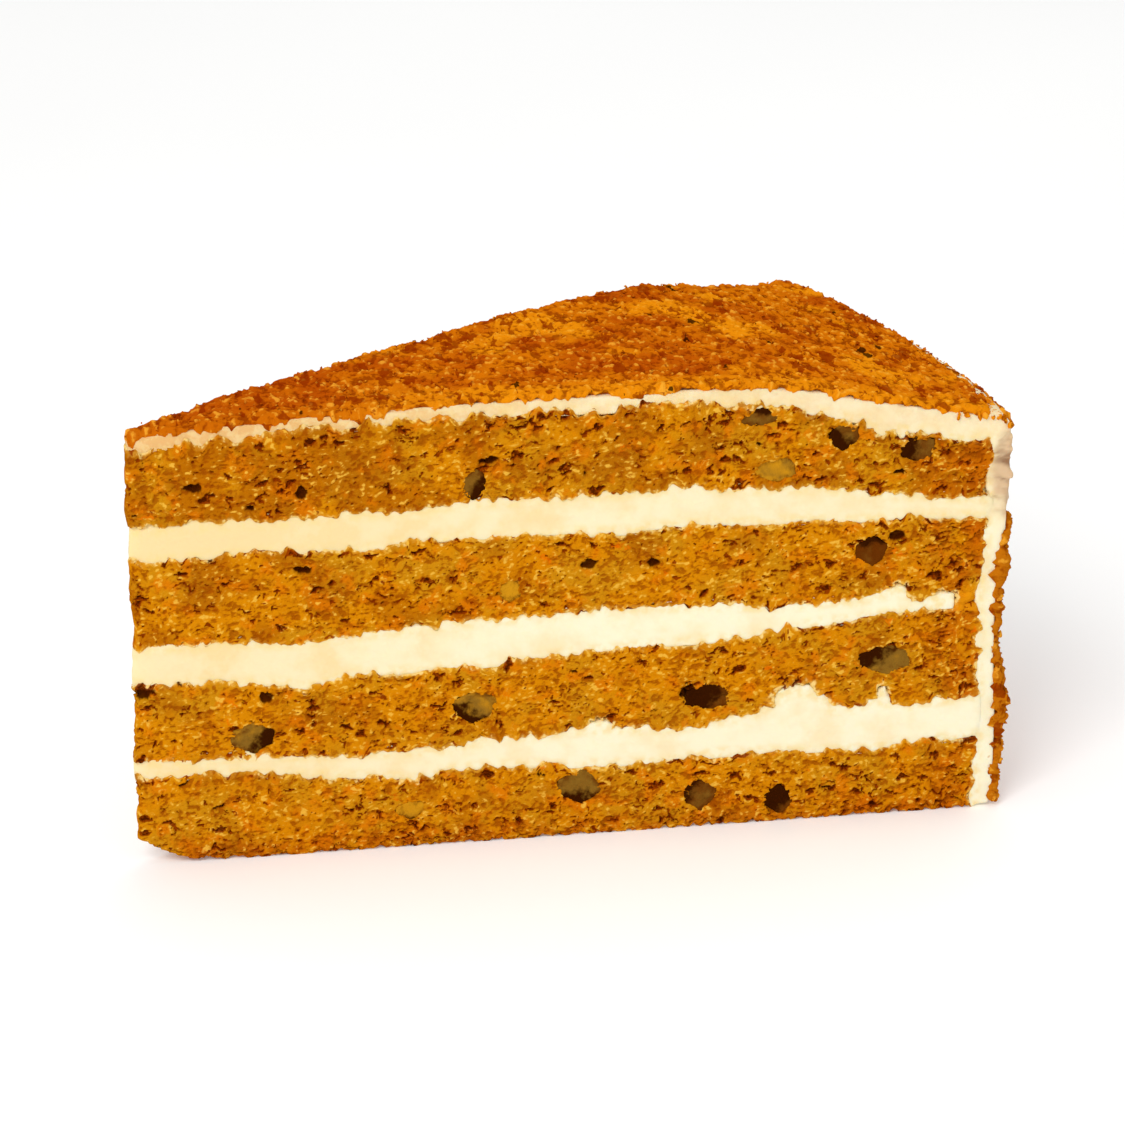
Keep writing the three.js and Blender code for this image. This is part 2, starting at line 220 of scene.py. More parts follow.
def report_size(piece):
    triangles = sum(len(face.vertices) - 2 for face in piece.data.polygons)
    print(piece.name, triangles, "triangles")

# %% [markdown]
# ## Helpers for nodes
# Shader trees and Geometry Nodes trees share most of their nodes. One small class adds nodes and wires
# them in both, so that a formula for pores or grains can be written once. Colours are given as they look on
# a screen, from 0 to 255, and turned into the linear values that Blender works with.

# %% Node helpers


class Graph:
    """Adds nodes to a tree. Any value may be a number, a vector or another node's socket."""

    def __init__(self, tree):
        self.tree = tree

    def feed(self, socket, value):
        if isinstance(value, bpy.types.NodeSocket):
            self.tree.links.new(value, socket)
        else:
            socket.default_value = value

    def add(self, kind, inputs=(), **settings):
        node = self.tree.nodes.new(kind)
        for key, value in settings.items():
            setattr(node, key, value)
        for key, value in dict(inputs).items():
            self.feed(node.inputs[key], value)
        return node

    def math(self, operation, *values):
        node = self.add("ShaderNodeMath", operation=operation)
        for socket, value in zip(node.inputs, values):
            self.feed(socket, value)
        return node.outputs[0]

    def times(self, first, second):
        return self.math("MULTIPLY", first, second)

    def times_plus(self, first, second, third):
        return self.math("MULTIPLY_ADD", first, second, third)

    def minus(self, first, second):
        return self.math("SUBTRACT", first, second)

    def larger(self, first, second):
        return self.math("MAXIMUM", first, second)

    def vector(self, operation, *values):
        node = self.add("ShaderNodeVectorMath", operation=operation)
        for socket, value in zip(node.inputs, values):
            self.feed(socket, value)
        return node.outputs["Value" if operation in ("DOT_PRODUCT", "LENGTH", "DISTANCE") else "Vector"]

    def dot(self, vector, way):
        return self.vector("DOT_PRODUCT", vector, way)

    def shifted(self, vector, way):
        return self.vector("ADD", vector, way)

    def stretched(self, vector, factors):
        return self.vector("MULTIPLY", vector, factors)

    def scaled(self, vector, factor):
        node = self.add("ShaderNodeVectorMath", {"Vector": vector, "Scale": factor}, operation="SCALE")
        return node.outputs["Vector"]

    def ramp(self, value, start, end, smooth=True):
        """0 before start, 1 after end. It runs backwards where start is the larger."""
        kind = "SMOOTHSTEP" if smooth else "LINEAR"
        low, high = min(start, end), max(start, end)
        inputs = {"Value": value, "From Min": low, "From Max": high, "To Min": 0.0, "To Max": 1.0}
        if start > end:
            inputs.update({"To Min": 1.0, "To Max": 0.0})
        return self.add("ShaderNodeMapRange", inputs, interpolation_type=kind).outputs["Result"]

    def noise(self, vector, scale, detail=2.0, roughness=0.5, output="Fac"):
        inputs = {"Vector": vector, "Scale": scale, "Detail": detail, "Roughness": roughness}
        return self.add("ShaderNodeTexNoise", inputs).outputs[output]

    def patches(self, vector, scale, start, end, **more):
        """Soft patches of noise: 0 where it is below start, 1 where it is above end."""
        return self.ramp(self.noise(vector, scale, **more), start, end)

    def swing(self, vector, scale, **more):
        """Noise that swings about 0, by up to a half to either side."""
        return self.minus(self.noise(vector, scale, **more), 0.5)

    def push(self, vector, scale, **more):
        """The same in all three directions."""
        return self.vector("SUBTRACT", self.noise(vector, scale, output="Color", **more), (0.5, 0.5, 0.5))

    def cells(self, vector, scale):
        """Voronoi cells: the distance to a cell's middle, and three random numbers for each cell."""
        node = self.add("ShaderNodeTexVoronoi", {"Vector": vector, "Scale": scale})
        split = self.add("ShaderNodeSeparateColor" if self.is_shader() else "FunctionNodeSeparateColor",
                         {"Color": node.outputs["Color"]})
        return node.outputs["Distance"], split.outputs[0], split.outputs[1], split.outputs[2]

    def is_shader(self):
        return self.tree.bl_idname == "ShaderNodeTree"

    def spots(self, vector, cell, share, radius, soft):
        """Round spots with ragged edges: one in so many cells, of differing size. 1 in a spot, 0 outside."""
        distance, chance, size, _ = self.cells(vector, 1 / cell)
        reach = self.times_plus(size, radius / cell, 0.5 * radius / cell)
        inside = self.minus(reach, distance)
        spot = self.ramp(inside, 0.0, soft / cell)
        return self.times(spot, self.math("LESS_THAN", chance, share))

    def limited(self, value, most):
        return self.larger(self.math("MINIMUM", value, most), -most)

    def warped(self, vector, scale, amount):
        """The vector pushed about by noise, which makes round shapes ragged."""
        return self.shifted(vector, self.scaled(self.push(vector, scale), 2 * amount))

    def far_from(self, place, middle, reach):
        """How far each point is from a middle: 1 on the ellipsoid with these half sizes in millimetres."""
        away = self.vector("SUBTRACT", place, middle / MM)
        return self.vector("LENGTH", self.vector("DIVIDE", away, reach))

    def random(self, low, high, seed):
        """A random number or vector between these two, another one for each point."""
        kind, first, output = ("FLOAT_VECTOR", 0, 0) if isinstance(low, tuple) else ("FLOAT", 2, 1)
        inputs = {first: low, first + 1: high, "Seed": seed}
        return self.add("FunctionNodeRandomValue", inputs, data_type=kind).outputs[output]

    def attribute(self, name):
        node = self.add("ShaderNodeAttribute", attribute_name=name)
        return node.outputs["Fac"]

    def blend(self, factor, first, second):
        node = self.add("ShaderNodeMix", {0: factor, 6: first, 7: second}, data_type="RGBA")
        return node.outputs[2]

    def between(self, factor, first_rgb, second_rgb):
        return self.blend(factor, screen_colour(*first_rgb), screen_colour(*second_rgb))

    def tint(self, colour, mask, strength, rgb):
        """The colour with another laid over it where the mask is 1, no stronger than this strength."""
        return self.blend(self.times(mask, strength), colour, screen_colour(*rgb))

    def position(self):
        if self.is_shader():
            return self.add("ShaderNodeTexCoord").outputs["Object"]
        return self.add("GeometryNodeInputPosition").outputs[0]

    def place(self):
        """The position in millimetres."""
        return self.scaled(self.position(), 1 / MM)

    def normal(self):
        return self.add("GeometryNodeInputNormal").outputs[0]

    def outward_direction(self):
        """For crumbs: up on the top, and away from the cake's axis at the side."""
        away = self.stretched(self.vector("SUBTRACT", self.position(), AXIS), (1, 1, 0))
        return self.vector("NORMALIZE", self.shifted(self.vector("NORMALIZE", away), UP))


def screen_colour(red, green, blue):
    linear = [((c / 255 + 0.055) / 1.055) ** 2.4 if c > 10 else c / 255 / 12.92 for c in (red, green, blue)]
    return (*linear, 1.0)


def geometry_tree(name):
    tree = bpy.data.node_groups.new(name, "GeometryNodeTree")
    tree.interface.new_socket("Geometry", in_out="INPUT", socket_type="NodeSocketGeometry")
    tree.interface.new_socket("Geometry", in_out="OUTPUT", socket_type="NodeSocketGeometry")
    graph = Graph(tree)
    start = graph.add("NodeGroupInput").outputs[0]
    end = graph.add("NodeGroupOutput")
    return graph, start, end


def moved_tree(graph, geometry, move, end):
    """Ends a tree: every point of this geometry is moved, each by its own amount."""
    moved = graph.add("GeometryNodeSetPosition", {"Geometry": geometry, "Offset": move})
    graph.feed(end.inputs[0], moved.outputs[0])
    return graph.tree


def run_tree(piece, tree):
    modifier = piece.modifiers.new(tree.name, "NODES")
    modifier.node_group = tree
    apply_modifiers(piece)

# %% [markdown]
# ## Dressing a piece
# Each finished piece rides on the one body, stands for its CAD nodes and carries its material. A CAD node is
# hidden as soon as a piece stands for it, and the relief still measures distances to the nodes. So the
# pieces are only noted here, and all of them are handed to the frame at the end.

# %% Dressing
dressed = []


def rest_on_plate(piece):
    """Nothing reaches below the plate on which the slice stands."""
    points = rows_of(piece.data.vertices, "co")
    points[:, 2] = np.maximum(points[:, 2], 0)
    place_vertices(piece, points)


def dress(piece, material, slot, nodes):
    rest_on_plate(piece)
    piece.data.materials.clear()
    piece.data.materials.append(material)
    piece.data.shade_smooth()
    dressed.append((piece, slot, nodes))
    report_size(piece)

# %% [markdown]
# ## Sponge: the relief of open crumb
# Cut cake is a sponge of small bubbles, a little flattened because the batter sank as it baked. The knife
# opened them, so the cut face is full of ragged pits from a third of a millimetre to two, between grains
# that stand proud. Sculpting that by hand would take days. A bump map would look flat at the edges and would
# be lost from the mesh. So the relief is worked out by Geometry Nodes: noise, squashed in height, gives
# grains and hollows, ragged spots in some of many small cells give pores and caves, and every point of the
# cut is moved by them. The values are also kept as attributes, from which the colour is taken, so that the
# painted shade of pores, caves and hollows always lies in real pits, and the painted highlight on grains
# that really stand proud. The largest holes and the fingers of cream are listed, each at its own place.

# %% Crumb relief tree
# Sizes are millimetres here as well, and most numbers in the trees are too, as they work on millimetres.
CRUMB_SQUASH = (1.0, 1.0, 1.7)
EDGE_REACH = 2.6
TOUCHING = 0.5
SPONGE_NODES = ["sponge_1", "sponge_2", "sponge_3", "sponge_4"]
CREAM_NODES = ["cream_1", "cream_2", "cream_3", "cream_coat"]
NUT_NODES = sorted(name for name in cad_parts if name.startswith("walnut"))

# The large holes of the front cut: along, z, half width and half height, all in millimetres.
POCKET_DEPTH = 3.0
DARK_POCKETS = [
    (116.3, 46.1, 1.5, 0.9),
    (1.3, 28.2, 2.2, 1.0),
    (1.0, 32.6, 1.0, 0.7),
    (10.0, 60.2, 1.7, 0.9),
    (26.0, 58.6, 0.7, 1.3),
    (26.0, 46.6, 1.4, 0.9),
    (69.0, 44.6, 1.4, 0.9),
    (79.0, 44.2, 1.2, 0.8),
    (20.0, 26.2, 1.3, 0.9),
    (84.5, 22.6, 1.5, 1.2),
    (120.6, 60.8, 1.8, 0.5),
    (99.0, 4.4, 1.8, 1.0),
    (54.0, 62.0, 1.6, 0.5),
]

# Where cream pushes up or down into the crumb: its node, along, z, half width and half height.
FINGER_DEPTH = 3.0
CREAM_FINGERS = [
    ("cream_1", 100.9, 20.2, 3.5, 2.5),
    ("cream_1", 102.6, 20.4, 2.0, 2.3),
    ("cream_1", 114.9, 19.4, 0.9, 2.3),
    ("cream_1", 71.0, 17.8, 1.8, 1.3),
    ("cream_1", 41.6, 12.0, 1.6, 1.2),
    ("cream_2", 117.0, 36.0, 1.3, 2.4),
    ("cream_2", 123.8, 35.6, 2.0, 1.1),
    ("cream_3", 84.1, 55.0, 1.2, 1.5),
    ("cream_coat", 116.6, 64.2, 1.0, 2.6),
]


def nearest(graph, names):
    """A node that finds the nearest point of these CAD solids."""
    joined = graph.add("GeometryNodeJoinGeometry")
    for name in names:
        info = graph.add("GeometryNodeObjectInfo", {"Object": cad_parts[name]})
        graph.tree.links.new(info.outputs["Geometry"], joined.inputs[0])
    return graph.add("GeometryNodeProximity", {0: joined.outputs[0]})


def towards(graph, position, names):
    """The nearest of these nodes: how far it is in millimetres, its nearest point, and the way to it."""
    near = nearest(graph, names)
    gap = graph.times(near.outputs["Distance"], 1 / MM)
    way = graph.vector("NORMALIZE", graph.vector("SUBTRACT", near.outputs["Position"], position))
    return gap, graph.scaled(near.outputs["Position"], 1 / MM), way


def worn_tip(graph, place):
    """The soft tip isn't quite straight: it is pressed in here and there, and rounded at its top."""
    from_tip = graph.dot(graph.vector("SUBTRACT", place, on_front(0, 0) / MM), ALONG)
    height = graph.dot(place, UP)
    level = graph.stretched(place, UP)
    pressed = graph.patches(level, 0.09, 0.35, 0.7)
    rounded = graph.math("POWER", graph.ramp(height, 65.0, 73.5, smooth=False), 2.0)
    inwards = graph.times_plus(rounded, 2.0, graph.times(pressed, 1.1))
    inwards = graph.times(inwards, graph.ramp(from_tip, 9.0, 0.0))
    return graph.scaled(-TIP_NORMAL, graph.times(inwards, MM))


def crumb_body(graph, place, coarse, fine, grain_size, grain_share=0.2):
    """Grains and hollows: about -0.25 in a deep hollow, 0 between, 0.25 on a proud grain."""
    large = graph.swing(place, coarse, roughness=0.6)
    small = graph.swing(graph.shifted(place, (7.3, 2.9, 4.1)), fine, detail=1.0, roughness=0.6)
    body = graph.times_plus(large, 0.7, graph.times(small, 0.5))
    distance, size, _, _ = graph.cells(graph.warped(place, 1.1, 0.35), 1 / grain_size)
    grain = graph.times(graph.ramp(distance, 0.65, 0.1), graph.times_plus(size, 0.75, 0.25))
    return graph.times_plus(graph.minus(grain, 0.3), grain_share, body)


def dark_pockets(graph, place):
    """The few large holes of the front cut, each at its own place: 1 inside, 0 outside."""
    ragged = graph.warped(graph.warped(place, 0.5, 1.0), 1.6, 0.5)
    deepest = 0.0
    for along, z, half_width, half_height in DARK_POCKETS:
        away = graph.far_from(ragged, on_front(along, z), (half_width, POCKET_DEPTH, half_height))
        deepest = graph.larger(graph.ramp(away, 1.15, 0.5), deepest)
    return deepest


def finger_masks(graph, place):
    """Inside the fingers of cream, and close round them: 1 there, 0 elsewhere."""
    ragged = graph.warped(place, 0.8, 1.2)
    inside, near = 0.0, 0.0
    for _, along, z, half_width, half_height in CREAM_FINGERS:
        away = graph.far_from(ragged, on_front(along, z), (half_width, FINGER_DEPTH, half_height))
        inside = graph.larger(graph.ramp(away, 1.0, 0.8), inside)
        near = graph.larger(graph.ramp(away, 1.6, 1.0), near)
    return inside, near


def patch(graph, place, middle, reach):
    """One soft, uneven patch on the front cut: 1 in its middle, 0 outside."""
    return graph.ramp(graph.far_from(graph.warped(place, 0.35, 3.0), on_front(*middle), reach), 1.1, 0.5)


def pressed_crumb(graph, place):
    """1 where sponges 2 and 3 meet without cream, near the rim, and the crumb is pressed flat."""
    return patch(graph, place, (128.5, 35.0), (4.5, 12.0, 2.4))


def toasted(graph, position):
    """1 in the crust at the rim and at the bottom and in one crumbly brown lump near the rim, 0 elsewhere."""
    away = graph.stretched(graph.vector("SUBTRACT", position, AXIS), (1, 1, 0))
    rim = graph.ramp(graph.vector("LENGTH", away), 119 * MM, 131 * MM)
    bottom = graph.ramp(graph.dot(position, UP), 4.2 * MM, 1.2 * MM)
    lump = patch(graph, graph.scaled(position, 1 / MM), (124.3, 57.5), (4.5, 8.0, 4.5))
    return graph.larger(graph.larger(rim, lump), bottom)


def store(graph, geometry, values):
    for name, value in values.items():
        inputs = {"Geometry": geometry, "Name": name, "Value": value}
        node = graph.add("GeometryNodeStoreNamedAttribute", inputs, data_type="FLOAT", domain="POINT")
        geometry = node.outputs[0]
    return geometry


def crumb_relief():
    graph, start, end = geometry_tree("crumb relief")
    position = graph.position()
    normal = graph.normal()
    place = graph.place()
    along = graph.dot(place, ALONG)
    height = graph.dot(place, UP)
    crust = toasted(graph, position)

    # The line between cream and crumb is ragged: near it, points move towards the cream or away from it.
    # Under the coat they move further at the tip, where the coat is thinnest.
    gap, edge_place, to_cream = towards(graph, position, CREAM_NODES)
    long_waves = graph.swing(edge_place, 0.2)
    short_waves = graph.swing(edge_place, 0.6, detail=1.2, roughness=0.6)
    long_waves = graph.times(long_waves, graph.times_plus(crust, 3.0, 3.0))
    thin_coat = graph.times(graph.ramp(height, 57.0, 60.0), graph.ramp(along, -5.0, -45.0))
    long_waves = graph.times_plus(thin_coat, 0.45, graph.limited(long_waves, 0.6))
    short_waves = graph.times(short_waves, graph.times_plus(crust, -1.4, 3.4))
    short_waves = graph.limited(short_waves, 0.7)
    top_waves = graph.swing(graph.shifted(edge_place, (9, 9, 9)), 0.33)
    top_waves = graph.times(graph.times(top_waves, 6.0), graph.ramp(height, 60.0, 64.0))
    long_waves = graph.math("ADD", long_waves, graph.limited(top_waves, 0.8))
    waves = graph.math("ADD", graph.math("ADD", long_waves, short_waves), 0.1)
    waves = graph.larger(waves, -1.1)
    slide = graph.times(waves, graph.ramp(gap, EDGE_REACH, 0.3))
    move = graph.scaled(to_cream, graph.times(slide, MM))

    # Crumb also clings to the edges of the nuts.
    nut_gap, nut_place, to_nut = towards(graph, position, NUT_NODES)
    cling = graph.minus(graph.noise(nut_place, 0.5, detail=1.0), 0.4)
    cling = graph.times(graph.times(cling, 2.2), graph.ramp(nut_gap, 1.6, 0.2))
    move = graph.shifted(move, graph.scaled(to_nut, graph.times(cling, MM)))

    squashed = graph.stretched(graph.warped(place, 0.3, 1.2), CRUMB_SQUASH)
    body = crumb_body(graph, squashed, 0.55, 1.4, 0.95)
    ragged = graph.warped(graph.warped(squashed, 0.45, 2.0), 1.3, 0.9)
    busy = graph.patches(place, 0.1, 0.38, 0.62)
    share = graph.times_plus(busy, 0.4, graph.times_plus(crust, 0.3, 0.25))
    fine_pores = graph.times(graph.spots(ragged, 1.5, share, 0.42, 0.15), 0.7)
    pores = graph.spots(graph.shifted(ragged, (31, 17, 23)), 2.4, share, 0.75, 0.25)
    pores = graph.larger(pores, fine_pores)
    caves = graph.spots(graph.shifted(ragged, (11, 47, 5)), 5.5, 0.16, 1.0, 0.6)
    caves = graph.larger(caves, dark_pockets(graph, place))

    depth = graph.times(body, -1.4)
    depth = graph.times(depth, graph.times_plus(crust, 0.8, 1.0))
    depth = graph.times_plus(pores, 0.5, depth)
    depth = graph.times_plus(caves, 1.1, depth)
    depth = graph.times(depth, graph.minus(1.0, pressed_crumb(graph, place)))

    # Close to the cream pits are shallow, or the cream that reaches behind the crumb would show in them.
    gap_left = graph.ramp(graph.minus(gap, slide), 0.9, 1.9)
    depth = graph.math("MINIMUM", depth, graph.times_plus(gap_left, 2.0, 0.08))
    in_finger, near_finger = finger_masks(graph, place)
    depth = graph.larger(depth, graph.times(in_finger, 1.6))

    # Only cut faces have pits. The faces between layers lie hidden, and the underside is nearly closed.
    upright = graph.ramp(graph.math("ABSOLUTE", graph.dot(normal, UP)), 0.75, 0.35)
    sink = graph.times(graph.times(depth, upright), -MM)
    move = graph.shifted(graph.scaled(normal, sink), move)

    # The lower edge is crumbled away here and there.
    low = graph.ramp(height, 2.0, 0.0)
    lost = graph.patches(place, 0.45, 0.42, 0.72, detail=4.0, roughness=0.65)
    lift = graph.times(graph.times(low, lost), MM)
    move = graph.shifted(move, graph.scaled(UP, lift))
    move = graph.shifted(move, worn_tip(graph, place))

    # The values are stored before the points move, so that each colour stays with its own grain or pit.
    kept = {"body": body, "pore": pores, "cave": caves, "crust": crust}
    kept["edge"] = graph.larger(graph.ramp(gap, 1.4, 0.2, smooth=False), near_finger)
    stored = store(graph, start, kept)
    return moved_tree(graph, stored, move, end)


def growth(name, neighbours, amount):
    """A tree that moves every vertex that touches one of these nodes into it."""
    graph, start, end = geometry_tree(name)
    touches = graph.math("LESS_THAN", nearest(graph, neighbours).outputs["Distance"], TOUCHING * MM)
    move = graph.scaled(graph.normal(), graph.times(touches, amount * MM))
    return moved_tree(graph, start, move, end)


def behind_cuts(piece, depth):
    """For every face, whether its middle lies at least this far behind the two cuts and the tip."""
    middles = rows_of(piece.data.polygons, "center") - np.array(AXIS)
    deep = middles @ np.array(FRONT_NORMAL) < -depth
    deep &= middles @ np.array(BACK_NORMAL) < -depth
    deep &= middles @ np.array(TIP_NORMAL) < -depth - TIP_RADIUS
    return deep


def hold_back(piece, inset):
    """Brings every vertex at least this far behind the two cuts and the tip."""
    points = rows_of(piece.data.vertices, "co") - np.array(AXIS)
    tip_offset = TIP_RADIUS * math.cos(SLICE_ANGLE / 2)
    for normal, offset in ((FRONT_NORMAL, 0), (BACK_NORMAL, 0), (TIP_NORMAL, tip_offset)):
        beyond = np.maximum(points @ np.array(normal) + offset + inset, 0)
        points -= beyond[:, None] * np.array(normal)
    place_vertices(piece, points + np.array(AXIS))


crumb_tree = crumb_relief()

# %% [markdown]
# ## Sponge: colour
# Carrot cake is golden with olive and orange patches, because brown sugar, oil and shreds of carrot are
# spread unevenly through it. The colour is mixed in layers: a mottled ground, proud grains made paler, partly
# their own pale colour and partly a painted highlight, hollows made browner as painted shade, soft orange
# shreds, a browner crust at the rim and the bottom, and at last painted shade in the pores and caves.
# Each sponge is a copy of its CAD layer with even faces, and a small lump of crumb fills one seam.

# %% Sponge material and pieces
# These are millimetres, and the last is the cosine from which a face counts as level.
SPONGE_FACES = 0.6
LUMP_FACES = 0.3
MEETING_GROWTH = 1.4
HIDDEN_DEPTH = 4
GRAINS_STAND_OUT = 0.5
LUMP_STANDS_OUT = 0.7
LEVEL_CRUMB = 0.75


def new_material(name, roughness, specular=0.05):
    material = bpy.data.materials.new(name)
    material.use_nodes = True
    shader = material.node_tree.nodes["Principled BSDF"]
    shader.inputs["Roughness"].default_value = roughness
    shader.inputs["Specular IOR Level"].default_value = specular
    return material, Graph(material.node_tree), shader


def finish_material(graph, shader, colour, height, depth):
    """Feeds the colour and a fine bump, which is this deep in millimetres."""
    graph.feed(shader.inputs["Base Color"], colour)
    bump = graph.add("ShaderNodeBump", {"Height": height, "Distance": depth * MM, "Strength": 1.0})
    graph.feed(shader.inputs["Normal"], bump.outputs[0])


def sponge_material():
    material, graph, shader = new_material("carrot sponge", 0.95, 0.0)
    place = graph.place()
    height = graph.dot(place, UP)
    body, pore, cave = [graph.attribute(name) for name in ("body", "pore", "cave")]
    crust, edge = [graph.attribute(name) for name in ("crust", "edge")]
    fine = graph.noise(graph.stretched(place, CRUMB_SQUASH), 2.0)
    grain = graph.times_plus(graph.minus(fine, 0.5), 0.22, body)
    ragged = graph.warped(graph.warped(graph.stretched(place, (1, 1, 1.4)), 0.4, 3.0), 1.5, 1.2)

    olive = graph.patches(place, 0.16, 0.42, 0.62, detail=4.0)
    colour = graph.between(olive, (210, 131, 6), (199, 132, 14))
    brown = graph.noise(graph.shifted(place, (4, 73, 19)), 0.13, detail=4.0)
    brown = graph.times_plus(graph.ramp(height, 48.0, 54.0), 0.08, brown)

    # The upper sponges are browner towards the tip, and the lowest is paler towards the rim.
    along = graph.dot(place, ALONG)
    upper_tip = graph.times(graph.ramp(along, -5.0, -40.0), graph.ramp(height, 34.0, 40.0))
    brown = graph.times_plus(upper_tip, 0.09, brown)
    lower_rim = graph.times(graph.ramp(along, 0.0, 30.0), graph.ramp(height, 20.0, 16.0))
    brown = graph.ramp(graph.times_plus(lower_rim, -0.07, brown), 0.5, 0.68)
    colour = graph.tint(colour, brown, 0.65, (162, 84, 4))
    orange = graph.patches(graph.shifted(place, (40, 3, 9)), 0.3, 0.52, 0.68, detail=3.0)
    colour = graph.tint(colour, orange, 0.7, (216, 114, 5))
    browned = graph.times(crust, graph.patches(place, 0.35, 0.36, 0.56, detail=4.0))
    colour = graph.tint(colour, browned, 0.6, (182, 82, 4))

    stains = graph.spots(graph.shifted(ragged, (5, 8, 61)), 4.0, 0.6, 1.0, 0.7)
    colour = graph.tint(colour, stains, 0.6, (156, 66, 2))
    # Painted light on the crumb relief: proud grains are tinted paler, partly their own colour and partly a
    # painted highlight, and hollows are tinted brown as painted shade.
    colour = graph.tint(colour, graph.ramp(grain, 0.05, 0.17), 0.8, (236, 182, 64))
    colour = graph.tint(colour, graph.ramp(grain, -0.03, -0.16), 0.7, (148, 66, 2))
    shreds = graph.spots(ragged, 6.0, 0.3, 1.3, 1.0)
    colour = graph.tint(colour, shreds, 0.7, (230, 106, 3))
    colour = graph.tint(colour, pressed_crumb(graph, place), 0.7, (228, 146, 14))

    # Cream is soaked into the outermost crumb and smeared over some of its grains.
    uneven = graph.swing(place, 1.1)
    soaked = graph.ramp(graph.times_plus(uneven, 1.6, edge), 0.2, 0.9)
    colour = graph.tint(colour, soaked, 0.45, (232, 178, 70))
    smear = graph.ramp(graph.times_plus(uneven, 2.4, edge), 0.65, 1.05)
    colour = graph.tint(colour, smear, 0.8, (246, 214, 134))
    # Painted shade: pores are tinted red-brown, and caves and the deepest pores near black, on top of the
    # shadow that their real depth casts.
    pore = graph.times_plus(graph.minus(fine, 0.5), 0.4, pore)
    colour = graph.tint(colour, graph.ramp(pore, 0.15, 0.55), 0.9, (138, 48, 0))
    dark = graph.larger(graph.ramp(cave, 0.1, 0.6), graph.ramp(pore, 0.88, 1.04))
    colour = graph.tint(colour, dark, 0.95, (72, 23, 0))
    finish_material(graph, shader, colour, fine, 0.22)
    return material


def sponge_piece(number, material):
    """Sponges 2 and 3 meet near the rim, where no cream parts them. There they are grown together."""
    piece = copy_of("sponge_%d" % number, "sponge_%d_crumb" % number)
    if number in (2, 3):
        other = "sponge_%d" % (5 - number)
        run_tree(piece, growth("sponge %d meets the other" % number, [other], MEETING_GROWTH))
        hold_back(piece, 0)
    even_faces(piece, SPONGE_FACES * MM)
    refine(piece, facing(piece, FRONT_NORMAL), 2)
    refine(piece, facing(piece, BACK_NORMAL), 1)
    upwards = face_normals(piece)[:, 2]
    level = upwards > LEVEL_CRUMB if number == 1 else np.abs(upwards) > LEVEL_CRUMB
    dissolve(piece, np.logical_and(level, behind_cuts(piece, HIDDEN_DEPTH * MM)))
    run_tree(piece, crumb_tree)
    hold_back(piece, -GRAINS_STAND_OUT * MM)
    dress(piece, material, "sponge", ["sponge_%d" % number])


def squashed_crumb(material):
    """The soft lump of crumb that fills the seam between sponges 2 and 3, at the end of the filling."""
    piece = lump_at(126.6, 35.1, 2.6, 1.2, 2.6, 2.1)
    piece.name = "squashed_crumb"
    join_into(piece, [lump_at(128.0, 35.6, 1.7, 1.5, 2.6, 2.2), lump_at(126.4, 33.7, 1.8, 1.1, 2.4, 2.1)])
    even_faces(piece, LUMP_FACES * MM)
    run_tree(piece, crumb_tree)
    hold_back(piece, -LUMP_STANDS_OUT * MM)
    dress(piece, material, "sponge", [])


sponge_finish = sponge_material()
for number in (1, 2, 3, 4):
    sponge_piece(number, sponge_finish)
squashed_crumb(sponge_finish)

# %% [markdown]
# ## Cream: fillings and coat
# Cream cheese frosting is smooth and soft. The knife dragged it a little along the cut and left small pits
# and a few crumbs in it. The sponges' edges are ragged, so the cream must reach behind them. Each filling is
# therefore grown into the sponges, where nobody sees it, and its cut faces lie a fifth of a millimetre
# behind the crumb. Rounded lumps are joined to it where fingers of cream push into the crumb. A remesh then
# makes one skin of it all, with even faces for a shallow relief.

# %% Cream shapes
# These are millimetres, and the last is the cosine from which a face counts as level.
CREAM_GROWTH = 1.7
CRUMB_GROWTH = 0.45
COAT_GROWTH = 1.0
CREAM_INSET = 0.2
FINISHED_INSET = 0.02
FILLING_FACES = 0.8
COAT_FACES = 0.6
LEVEL_CREAM = 0.85


def bare_side(graph, place):
    """1 on the side of the cake next to the front cut, where the crumbs didn't stick."""
    away = graph.far_from(graph.warped(place, 0.3, 3.0), on_front(135.5, 55.0), (6, 24, 9))
    return graph.ramp(away, 1.1, 0.5)


def cream_relief():
    graph, start, end = geometry_tree("cream relief")
    place = graph.place()
    normal = graph.normal()
    drag = graph.noise(graph.stretched(place, (0.25, 0.25, 1.6)), 0.5, detail=3.0)
    height = graph.times(graph.minus(drag, 0.5), 0.3)
    pits = graph.spots(graph.warped(place, 0.8, 0.5), 5.0, 0.12, 0.5, 0.4)
    height = graph.times_plus(pits, -0.3, height)
    specks = graph.spots(graph.warped(place, 1.5, 0.3), 3.4, 0.07, 0.3, 0.12)
    height = graph.times_plus(specks, 0.2, height)

    # The bare part of the side was wiped along with a palette knife, which left level ridges.
    level = graph.stretched(graph.warped(place, 0.25, 2.0), (0.3, 0.3, 1.0))
    ridges = graph.noise(level, 0.5)
    wiped = graph.times(bare_side(graph, place), graph.minus(ridges, 0.5))
    height = graph.times_plus(wiped, 3.4, height)

    # What reaches behind the sponge falls back, so that no cream shines through a pit near the edge.
    beyond = nearest(graph, CREAM_NODES).outputs["Distance"]
    _, near_finger = finger_masks(graph, place)
    fallen = graph.minus(graph.ramp(beyond, 0.7 * MM, 1.9 * MM), near_finger)
    height = graph.times_plus(graph.larger(fallen, 0.0), -0.5, height)

    upright = graph.ramp(graph.math("ABSOLUTE", graph.dot(normal, UP)), 0.75, 0.35)
    push = graph.times(graph.times(height, upright), MM)
    crumb = nearest(graph, SPONGE_NODES).outputs["Distance"]
    kept = {"speck": specks, "ridge": ridges, "soak": graph.ramp(crumb, 1.6 * MM, 0.2 * MM)}
    stored = store(graph, start, kept)
    move = graph.shifted(graph.scaled(normal, push), worn_tip(graph, place))
    return moved_tree(graph, stored, move, end)
